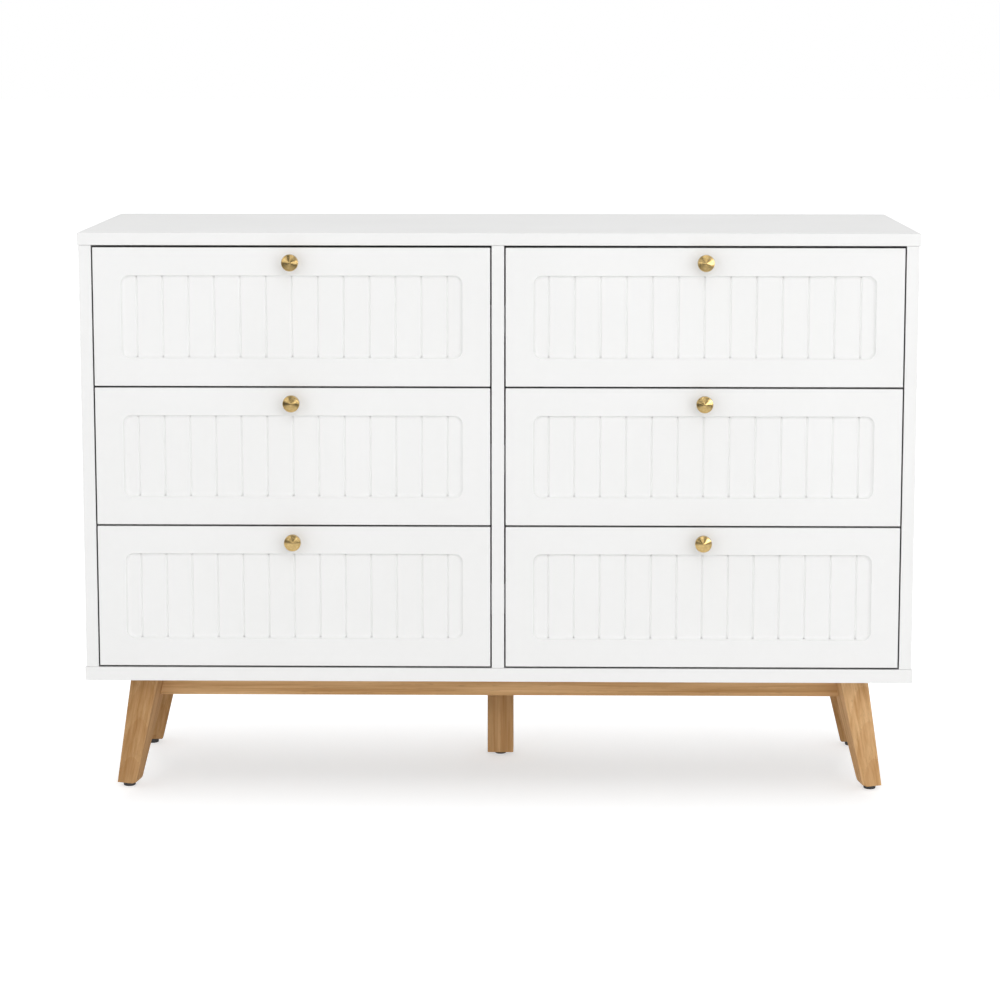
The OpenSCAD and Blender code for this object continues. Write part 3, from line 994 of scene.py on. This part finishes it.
@dataclass
class Base:
    """The oak base: splayed legs, rails and black glides.

    Attributes:
        body: the CAD body
        edge: radius of the long edges
        foot_edge: radius under the inward sides of each splayed leg's foot
        foot_height: height on a leg that the cut end of its foot lies below
        foot_end: height on a leg that its long edges reach past
        glide: radius and height of a glide's disc
        pin: radius and height of the pin in its middle
    """

    body: str = "case"
    edge: float = 1.6 * MM
    foot_edge: float = 6.0 * MM
    foot_height: float = 5.0 * MM
    foot_end: float = 12.0 * MM
    glide: Pair = (9.0 * MM, 8.5 * MM)
    pin: Pair = (2.0 * MM, 26.0 * MM)

    def tones_with_painted_light(self) -> dict[str, float]:
        """Says how dark each board of the base is: partly the boards' own tones and partly
        painted light.

        Returns:
            The tone of each board, by node.
        """
        # painted light in part: the front rail is set palest to offset the shade under the case,
        # and the front right leg is palest and the left legs dark as the light from the right
        # falls on them
        return {"front_left_leg": 0.8, "front_right_leg": 0.0, "rear_left_leg": 0.9,
                "rear_right_leg": 0.75, "centre_leg": 0.6, "front_rail": 0.0,
                "rear_rail": 0.5, "cross_rails": 0.4}

    def build(self) -> None:
        """Builds and dresses every piece of the base."""
        for seed, (node, tone) in enumerate(self.tones_with_painted_light().items(), 1):
            make = self.build_leg if node.endswith("leg") else self.build_rail
            make(node, tone, seed)
        self.build_glides()

    def build_leg(self, node: str, tone: float, seed: int) -> None:
        """Builds one leg, with its grain along it.

        Args:
            node: the CAD node
            tone: how dark the board is
            seed: where in the tree it was cut
        """
        shape = Shape.of_node(node)
        points = points_of(shape.bm.verts)
        low, high = points[:, 2].min(), points[:, 2].max()
        top = Vector(points[points[:, 2] > high - MM].mean(axis=0))
        foot = Vector(points[points[:, 2] < low + self.foot_height].mean(axis=0))
        middle = (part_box("front_rail")[0].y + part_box("rear_rail")[1].y) / 2
        inwards = (-foot.x, middle - foot.y)

        def under_foot(edge: Edge) -> bool:
            """Says whether an edge lies under the foot's inward sides.

            Args:
                edge: the edge
            Returns:
                True if it does.
            """
            first, last = (v.co - foot for v in edge.verts)
            side = 0 if abs(last.y - first.y) > abs(last.x - first.x) else 1
            return (max(v.co.z for v in edge.verts) < low + self.foot_height
                    and (first + last)[side] * inwards[side] > 0)

        def upright(edge: Edge) -> bool:
            """Says whether an edge runs up the leg."""
            heights = [v.co.z for v in edge.verts]
            return min(heights) < high - MM and max(heights) > low + self.foot_end

        if node != "centre_leg":
            shape.ease(self.foot_edge, 5, under_foot)
        Piece(node + "_oak", self.body, oak(tone), node, grain=top - foot,
              face=(0.0, -1.0, 0.0), seed=seed).make(shape.ease(self.edge, 3, upright))

    def build_rail(self, node: str, tone: float, seed: int) -> None:
        """Builds a rail, or the three cross rails that share a node.

        Args:
            node: the CAD node
            tone: how dark the board is
            seed: where in the tree it was cut
        """
        along, across = (Axis.Y, Axis.X) if node == "cross_rails" else (Axis.X, Axis.Y)

        def lengthwise(edge: Edge) -> bool:
            """Says whether an edge runs along the rail."""
            run = edge.verts[0].co - edge.verts[1].co
            return abs(run.dot(along.value)) > 0.9 * run.length

        Piece(node + "_oak", self.body, oak(tone), node, grain=along.value, face=across.value,
              seed=seed).make(Shape.of_node(node).ease(self.edge, 3, lengthwise))

    def build_glides(self) -> None:
        """Builds the five glides, each nailed into a foot."""
        (radius, top), (pin, tip) = self.glide, self.pin
        outline = rounded(((0.0, 0.0), (radius, 0.0, 1.4 * MM), (radius, top, 0.4 * MM),
                           (pin, top), (pin, tip - pin), (0.0, tip)))
        node = Shape.of_node("foot_glides")
        for number, island in enumerate(node.islands(), 1):
            points = points_of(island)
            centre = points[points[:, 2] < 0.01 * MM].mean(axis=0)
            Piece(f"glide_{number}", self.body, [BlackPlastic()], "foot_glides",
                  place=Matrix.Translation(centre)).make(Shape.turned(outline, 64))


@dataclass
class Runners:
    """The steel channels on both sides of every drawer.

    Attributes:
        sheet: the sheet's thickness
        bend: outer radius of the bends
    """

    sheet: float = 1.2 * MM
    bend: float = 2.2 * MM

    def build(self) -> None:
        """Builds the case's channels and those of every drawer."""
        self.bend_node("cabinet_runners", "case")
        for row in Row:
            for column in Column:
                name = f"{row.value}_{column.value}"
                self.bend_node(f"{name}_middle_runners", f"{name}_runner")
                self.bend_node(f"{name}_drawer_runners", f"{name}_drawer")

    def bend_node(self, node: str, body: str) -> None:
        """Builds a channel with bent corners for each solid of a node.

        Args:
            node: the CAD node
            body: the CAD body
        """
        source, whole = Shape.of_node(node), Shape()
        for island in source.islands():
            points = points_of(island)
            low, high = points.min(axis=0), points.max(axis=0)
            from_middle = np.abs(points[:, 2] - (low[2] + high[2]) / 2)
            inner = points[from_middle < (high[2] - low[2]) / 2 - self.sheet / 2]
            opens = 1.0 if inner[:, 0].min() - low[0] > self.sheet / 2 else -1.0
            whole.join(self.channel(low, high, opens))
        Piece(node + "_bent", body, [ZincSteel()], node).make(whole)

    def channel(self, low: np.ndarray, high: np.ndarray, opens: float) -> Shape:
        """Bends one channel.

        Args:
            low: its lowest corner
            high: its highest corner
            opens: 1 if it opens towards +X, -1 if towards -X
        Returns:
            The channel.
        """
        depth, height, sheet = high[0] - low[0], high[2] - low[2], self.sheet
        inside = self.bend - sheet
        section = [*rounded(((depth, 0.0), (0.0, 0.0, self.bend), (0.0, height, self.bend),
                             (depth, height))),
                   *rounded(((depth, height - sheet), (sheet, height - sheet, inside),
                             (sheet, sheet, inside), (depth, sheet)))]
        corner = Vector((low[0] if opens > 0 else high[0], 0.0, low[2]))
        return Shape.drawn(section, low[1], high[1]).moved(
            Matrix.Translation(corner) @ Matrix.Diagonal((opens, 1.0, 1.0, 1.0)))


@dataclass
class Drawer:
    """One drawer: its routed front, its plywood box and its knob.

    Attributes:
        row: its row
        column: its column
        border: width of the flat border round the recess
        corner: radius of the recess's corners
        sunk: depth of the recess
        rim: radius of the recess's rim
        facets: faces in each of the recess's corners
        pitch: distance between grooves
        groove: half the width of a groove
        groove_depth: depth of a groove
        groove_end: distance of a groove's end from the recess's edge
        spare: room round the drawer's floor in the slot behind the front
        bore: radius of the hole for the knob's screw
        knob_drop: distance of the knob's centre from the front's upper edge
        knob_head: distance from the knob's face to the back of its rim
        knob_flare: distance from the knob's face to where its neck starts to flare
        knob_cone: height of the shallow cone that its face is turned to
    """

    row: Row
    column: Column
    border: float = 40 * MM
    corner: float = 12 * MM
    sunk: float = 5 * MM
    rim: float = 0.8 * MM
    facets: int = 12
    pitch: float = 37 * MM
    groove: float = 1.75 * MM
    groove_depth: float = 1.75 * MM
    groove_end: float = 1.2 * MM
    spare: float = 0.25 * MM
    bore: float = 2.1 * MM
    knob_drop: float = 20 * MM
    knob_head: float = 7.2 * MM
    knob_flare: float = 14 * MM
    knob_cone: float = 1.7 * MM

    def __post_init__(self) -> None:
        """Works out the drawer's names and place."""
        self.name = f"{self.row.value}_{self.column.value}"
        self.body = self.name + "_drawer"
        self.low, self.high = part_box(self.name + "_drawer_front")
        self.middle = (self.low.x + self.high.x) / 2
        self.seed = 3 * list(Column).index(self.column) + list(Row).index(self.row)

    def build(self) -> None:
        """Builds and dresses every piece of the drawer."""
        self.build_front()
        self.build_box()
        self.build_knob()

    def build_front(self) -> None:
        """Builds the routed front, with the slot and hole in its back."""
        low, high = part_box(self.name + "_drawer_floor")
        room = Vector((self.spare, self.spare, self.spare / 2))
        slot = Shape.block(low - room, Vector((high.x, self.high.y, high.z)) + room)
        reach = 2 * (self.high.y - self.low.y)
        hole = Shape.turned([(0.0, -reach), (self.bore, -reach), (self.bore, reach),
                             (0.0, reach)], 32).moved(self.knob_place())
        shape = self.front_shape().ease(1.0 * MM).carve(slot).carve(hole)
        Piece(self.name + "_front", self.body, LACQUER, self.name + "_drawer_front").make(shape)

    def front_shape(self) -> Shape:
        """Builds the board with its coved recess and grooves.

        Returns:
            The shape, in the row's frame.
        """
        shape, size = Shape(), self.high - self.low
        centre = Vector((self.middle, self.low.y, (self.low.z + self.high.z) / 2))
        half_w, half_h = size.x / 2 - self.border, size.z / 2 - self.border
        arc_x, arc_z = half_w - self.corner, half_h - self.corner

        def put(places: Iterable[Point], sign: float = 1.0) -> list[Vert]:
            """Adds vertices, measured from the face's middle; sign -1 turns them half round."""
            return [shape.bm.verts.new(centre + Vector((sign * x, y, sign * z)))
                    for x, y, z in places]

        columns = self.groove_columns(arc_x)
        rings = []
        for inset, depth in self.cove():
            radius, grooved = self.corner - inset, inset > self.groove_end
            top = [(x, self.sunk + cut if grooved and cut > 0.1 * self.groove_depth else depth,
                    half_h - inset) for x, cut in columns]
            side = [(half_w - inset, depth, z) for z in (arc_z, -arc_z)]
            upper, lower = ([(arc_x + radius * math.cos(a), depth, z + radius * math.sin(a))
                             for a in (first - math.pi / 2 * i / self.facets
                                       for i in range(1, self.facets))]
                            for first, z in ((math.pi / 2, arc_z), (0.0, -arc_z)))
            rings.append([put(part, sign) for sign in (1.0, -1.0)
                          for part in (top, upper, side, lower)])
        for pair in zip(rings, rings[1:]):
            shape.band(*([v for part in ring for v in part] for ring in pair))
        self.add_floor(shape, rings[-1])
        face, back = (put((x * size.x / 2, y, z * size.z / 2)
                          for x, z in ((-1, 1), (1, 1), (1, -1), (-1, -1)))
                      for y in (0.0, size.y))
        self.add_board(shape, rings[0], face, back)
        return shape.tidy()

    def cove(self) -> Outline:
        """Draws the section of the recess's wall.

        Returns:
            Its (inset, depth) points, from the rim to the floor.
        """
        lip_faces, wall_faces, first = 4, 7, math.asin(self.rim / self.sunk)
        lip = [(self.rim * (math.sin(a) - 1), self.rim * (1 - math.cos(a)))
               for a in (math.pi / 2 * i / lip_faces for i in range(lip_faces))]
        wall = [(self.sunk * (1 - math.cos(a)), self.sunk * math.sin(a))
                for a in (first + (math.pi / 2 - first) * i / wall_faces
                          for i in range(wall_faces + 1))]
        return lip + wall

    def groove_columns(self, reach: float) -> Outline:
        """Draws the section of the grooved floor.

        Args:
            reach: half the width that the grooves may take
        Returns:
            Its (place across, depth) points, from left to right.
        """
        g, d = self.groove, self.groove_depth
        half = ((1.3 * g, 0.0), (1.08 * g, 0.05 * d), (0.88 * g, 0.2 * d), (0.2 * g, 0.86 * d))
        section = [*((-x, y) for x, y in half), (0.0, 0.97 * d), *reversed(half)]
        count = int(reach / self.pitch)
        inner = [(i * self.pitch + x, y) for i in range(-count, count + 1) for x, y in section]
        return [(-reach, 0.0), *inner, (reach, 0.0)]

    def add_floor(self, shape: Shape, ring: list[list[Vert]]) -> None:
        """Fills the recess with its grooved floor.

        Args:
            shape: the front in the making
            ring: the foot of the cove: a side and a corner by turns, from the top on
        """
        top, low = ring[0], ring[4][::-1]
        for corners in zip(top, top[1:], low[1:], low):
            shape.face(*corners)
        shape.face(*ring[1], *ring[2], *ring[3], low[-1], top[-1])
        shape.face(*ring[5], *ring[6], *ring[7], top[0], low[0])

    def add_board(self, shape: Shape, ring: list[list[Vert]], face: list[Vert],
                  back: list[Vert]) -> None:
        """Adds the border of the face, the sides and the back of the board.

        Args:
            shape: the front in the making
            ring: the rim of the recess: a side and a corner by turns, from the top on
            face: the face's corners, from the upper left one on
            back: the back's corners, in the same order
        """
        sides, arcs = ring[0::2], ring[1::2]
        half = len(arcs[0]) // 2
        for i in range(4):
            shape.face(face[i], face[(i + 1) % 4], *reversed(arcs[i][:half + 1]),
                       *reversed(sides[i]), *reversed(arcs[i - 1][half:]))
        shape.band(face, back)
        shape.face(*back)

    def build_box(self) -> None:
        """Builds the plywood sides and back, and the floor board."""
        for part, face, grain, edge in (("drawer_sides", Axis.X, Axis.Y, 1.2 * MM),
                                        ("drawer_back", Axis.Y, Axis.X, 0.8 * MM)):
            node = f"{self.name}_{part}"
            shape = Shape.of_node(node).ease(edge)
            for one in shape.bm.faces:
                one.material_index = 0 if abs(one.normal.dot(face.value)) > 0.6 else 1
            Piece(node + "_ply", self.body, (BirchPly(), BirchPly(cut=True)), node,
                  grain=grain.value, face=face.value, seed=self.seed).make(shape)
        node = self.name + "_drawer_floor"
        Piece(node + "_foil", self.body, [FloorBoard()], node).make(
            Shape.of_node(node).ease(0.3 * MM, 2))

    def knob_place(self) -> Matrix:
        """Returns the knob's own frame: Z points out of the drawer."""
        at = Vector((self.middle, self.low.y, self.high.z - self.knob_drop))
        return Matrix.Translation(at) @ Matrix.Rotation(math.pi / 2, 4, "X")

    def build_knob(self) -> None:
        """Builds the turned brass knob and the screw that holds it."""
        node = self.name + "_knob"
        low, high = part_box(node)
        out, radius = self.low.y - low.y, (high.x - low.x) / 2
        neck, foot, flat = 5.5 * MM, 7.5 * MM, 0.6 * MM
        knob = rounded((
            (0.0, 0.0), (foot, 0.0, 0.3 * MM), (foot, 1.2 * MM, 0.3 * MM),
            (neck, 3.0 * MM, 1.0 * MM), (neck, out - self.knob_flare, 6.0 * MM),
            (radius, out - self.knob_head, 1.2 * MM), (radius, out - self.knob_cone, 0.7 * MM),
            (flat, out, 0.3 * MM), (0.0, out)), 8)
        inside = self.low.y - self.high.y
        head, shank, under, tip = 4.0 * MM, 2.0 * MM, inside - 2.4 * MM, 9.0 * MM
        screw = rounded(((0.0, under), (head, under, 1.2 * MM), (head, inside), (shank, inside),
                         (shank, tip, 0.3 * MM), (0.0, tip)))
        for name, finish, outline, count in (("brass", Brass(), knob, 128),
                                             ("screw", ZincSteel(), screw, 48)):
            Piece(f"{node}_{name}", self.body, [finish], node,
                  place=self.knob_place()).make(Shape.turned(outline, count))


# Studio


@dataclass(frozen=True)
class Lamp:
    """A soft square lamp that points at the middle of the dresser.

    Attributes:
        name: its name
        place: where it stands
        size: the side of its square
        power: its power in watts
        glint: True if it shows only as a glint in what is glossy
        aim: the middle of the dresser
    """

    name: str
    place: Point
    size: float
    power: float
    glint: bool = False
    aim: Point = (0.0, 0.0, 0.45)

    def build(self) -> None:
        """Hangs the lamp."""
        data = bpy.data.lights.new(self.name, "AREA")
        data.size, data.energy = self.size, self.power
        lamp = placed(self.name, data)
        lamp.location = self.place
        lamp.rotation_euler = (Vector(self.aim) - lamp.location).to_track_quat(
            "-Z", "Y").to_euler()
        lamp.visible_diffuse = not self.glint


@dataclass
class Studio:
    """The pale floor, the soft lamps, the world and the camera.

    Attributes:
        eye: the camera's place
        yaw: how far the camera turns from +Y, in degrees
        pitch: how far it looks down, in degrees
        lens: its focal length in millimetres
        shift: its upward shift
        horizon: strength of the world's light near the horizon
        zenith: its strength overhead
        sky: heights between which the light goes from one to the other
        dim_end: share of the light at the unlit end of the room, in front of the dresser
        room: directions along Y between which the light goes from dim to full
        shade_glow: strength of the floor's own glow in the dresser's shade, kept low there as
            painted shade
        side_glow: its strength at both sides of that shade
        open_glow: its strength away from the dresser
        shade_ends: where the painted shade begins and ends before, behind and beside the dresser
        unlit: where the floor's far end, in front, goes dark in what is glossy
    """

    eye: Point = (0.059, -3.867, 1.113)
    yaw: float = -0.872
    pitch: float = 7.208
    lens: float = 93.5
    shift: float = -0.138
    horizon: float = 0.84
    zenith: float = 0.75
    sky: Pair = (0.05, 0.8)
    dim_end: float = 0.08
    room: Pair = (-0.92, -0.55)
    shade_glow: float = 0.462
    side_glow: float = 0.45
    open_glow: float = 0.88
    shade_ends: tuple[Pair, Pair, Pair] = ((-0.55, -0.05), (0.0, 0.50), (0.50, 0.66))
    unlit: Pair = (-2.8, -1.8)

    def build(self) -> None:
        """Builds the whole studio."""
        bpy.context.scene.view_settings.view_transform = "Standard"
        self.build_camera()
        self.build_world()
        self.build_floor()
        for lamp in (Lamp("key", (3.8, -6.0, 2.1), 3.0, 72.0),
                     Lamp("fill", (-3.4, -6.0, 2.0), 3.0, 55.0),
                     Lamp("front", (0.6, -5.8, 3.7), 3.0, 91.0),
                     Lamp("glint_right", (1.7, -4.0, 0.55), 0.9, 20.0, True),
                     Lamp("glint_middle", (0.25, -4.0, 0.62), 0.5, 4.0, True),
                     Lamp("glint_left", (-0.97, -4.0, 0.62), 0.4, 2.0, True)):
            lamp.build()

    def build_camera(self) -> None:
        """Sets up the camera."""
        data = bpy.data.cameras.new("camera")
        data.sensor_width, data.lens, data.shift_y = 36.0, self.lens, self.shift
        camera = placed("camera", data)
        camera.location = self.eye
        camera.rotation_euler = (math.radians(90.0 - self.pitch), 0.0, -math.radians(self.yaw))
        bpy.context.scene.camera = camera

    def build_world(self) -> None:
        """Lights the scene softly from all round, before a white background."""
        world = bpy.data.worlds.new("studio")
        nodes = Nodes(world)
        path = nodes.add("LightPath").outputs
        look = nodes.add("SeparateXYZ", {0: nodes.add("TexCoord").outputs["Generated"]}).outputs
        height = nodes.span(look["Z"], self.horizon, self.zenith, *self.sky)
        room = nodes.span(look["Y"], self.dim_end, 1.0, *self.room)
        lit = nodes.maths("MULTIPLY", height, room)
        plain = nodes.maths("MAXIMUM", path["Is Camera Ray"], path["Is Transmission Ray"])
        shown = nodes.add("Mix", {0: path["Is Glossy Ray"], 2: lit, 3: room}).outputs[0]
        strength = nodes.add("Mix", {0: plain, 2: shown, 3: 1.0}).outputs[0]
        light = nodes.add("Background", {"Color": (1.0, 1.0, 1.0, 1.0), "Strength": strength})
        nodes.add("OutputWorld", {"Surface": light.outputs["Background"]})
        bpy.context.scene.world = world

    def build_floor(self) -> None:
        """Lays a wide white floor that keeps the dresser's shadow."""
        shape, reach = Shape(), 40.0
        shape.face(*[shape.bm.verts.new((x * reach, y * reach, 0.0))
                     for x, y in ((-1, -1), (1, -1), (1, 1), (-1, 1))])
        floor = placed("floor", shape.mesh("floor"))
        floor.data.materials.append(self.floor_material())

    def floor_material(self) -> bpy.types.Material:
        """Builds the floor's paper: white, and lit from within where it is seen; the glow is
        weaker under the dresser, which paints shade there on top of the real shadow.
        """
        material = bpy.data.materials.new("white_paper")
        nodes = Nodes(material)
        path = nodes.add("LightPath").outputs
        place = nodes.add("SeparateXYZ", {0: nodes.add("TexCoord").outputs["Object"]}).outputs
        front, rear, side = self.shade_ends
        # painted shade: the glow is weak in a box under the dresser and strong round it, so the
        # floor is darker there and whiter beyond than its real shadow alone makes it
        before = nodes.span(place["Y"], self.open_glow, self.shade_glow, *front)
        behind = nodes.span(place["Y"], self.shade_glow, self.open_glow, *rear)
        beside = nodes.span(nodes.maths("ABSOLUTE", place["X"]), self.side_glow,
                            self.open_glow, *side)
        glow_with_painted_shade = nodes.maths("MAXIMUM", beside, nodes.maths("MAXIMUM", behind, before))
        glow = nodes.add("Emission", {"Strength": glow_with_painted_shade}).outputs[0]
        paper, dull, dark = (nodes.add("BsdfDiffuse", {"Color": (*colour, 1.0)}).outputs[0]
                             for colour in ((0.88, 0.88, 0.88), (0.553, 0.562, 0.572),
                                            (0.06, 0.06, 0.06)))
        lit = nodes.add("AddShader", {0: dull, 1: glow}).outputs[0]
        far = nodes.maths("MULTIPLY", path["Is Glossy Ray"],
                          nodes.span(place["Y"], 1.0, 0.0, *self.unlit))
        shown = nodes.add("MixShader", {0: far, 1: lit, 2: dark}).outputs[0]
        seen = nodes.maths("MAXIMUM", path["Is Camera Ray"], path["Is Glossy Ray"])
        mix = nodes.add("MixShader", {0: seen, 1: paper, 2: shown}).outputs[0]
        nodes.add("OutputMaterial", {"Surface": mix})
        return material


def main() -> None:
    """Builds the dresser and its studio."""
    logging.basicConfig(level=logging.INFO, format="%(name)s: %(message)s")
    Studio().build()
    Case().build()
    Base().build()
    Runners().build()
    for row in Row:
        for column in Column:
            Drawer(row, column).build()


if __name__ == "__main__":
    main()
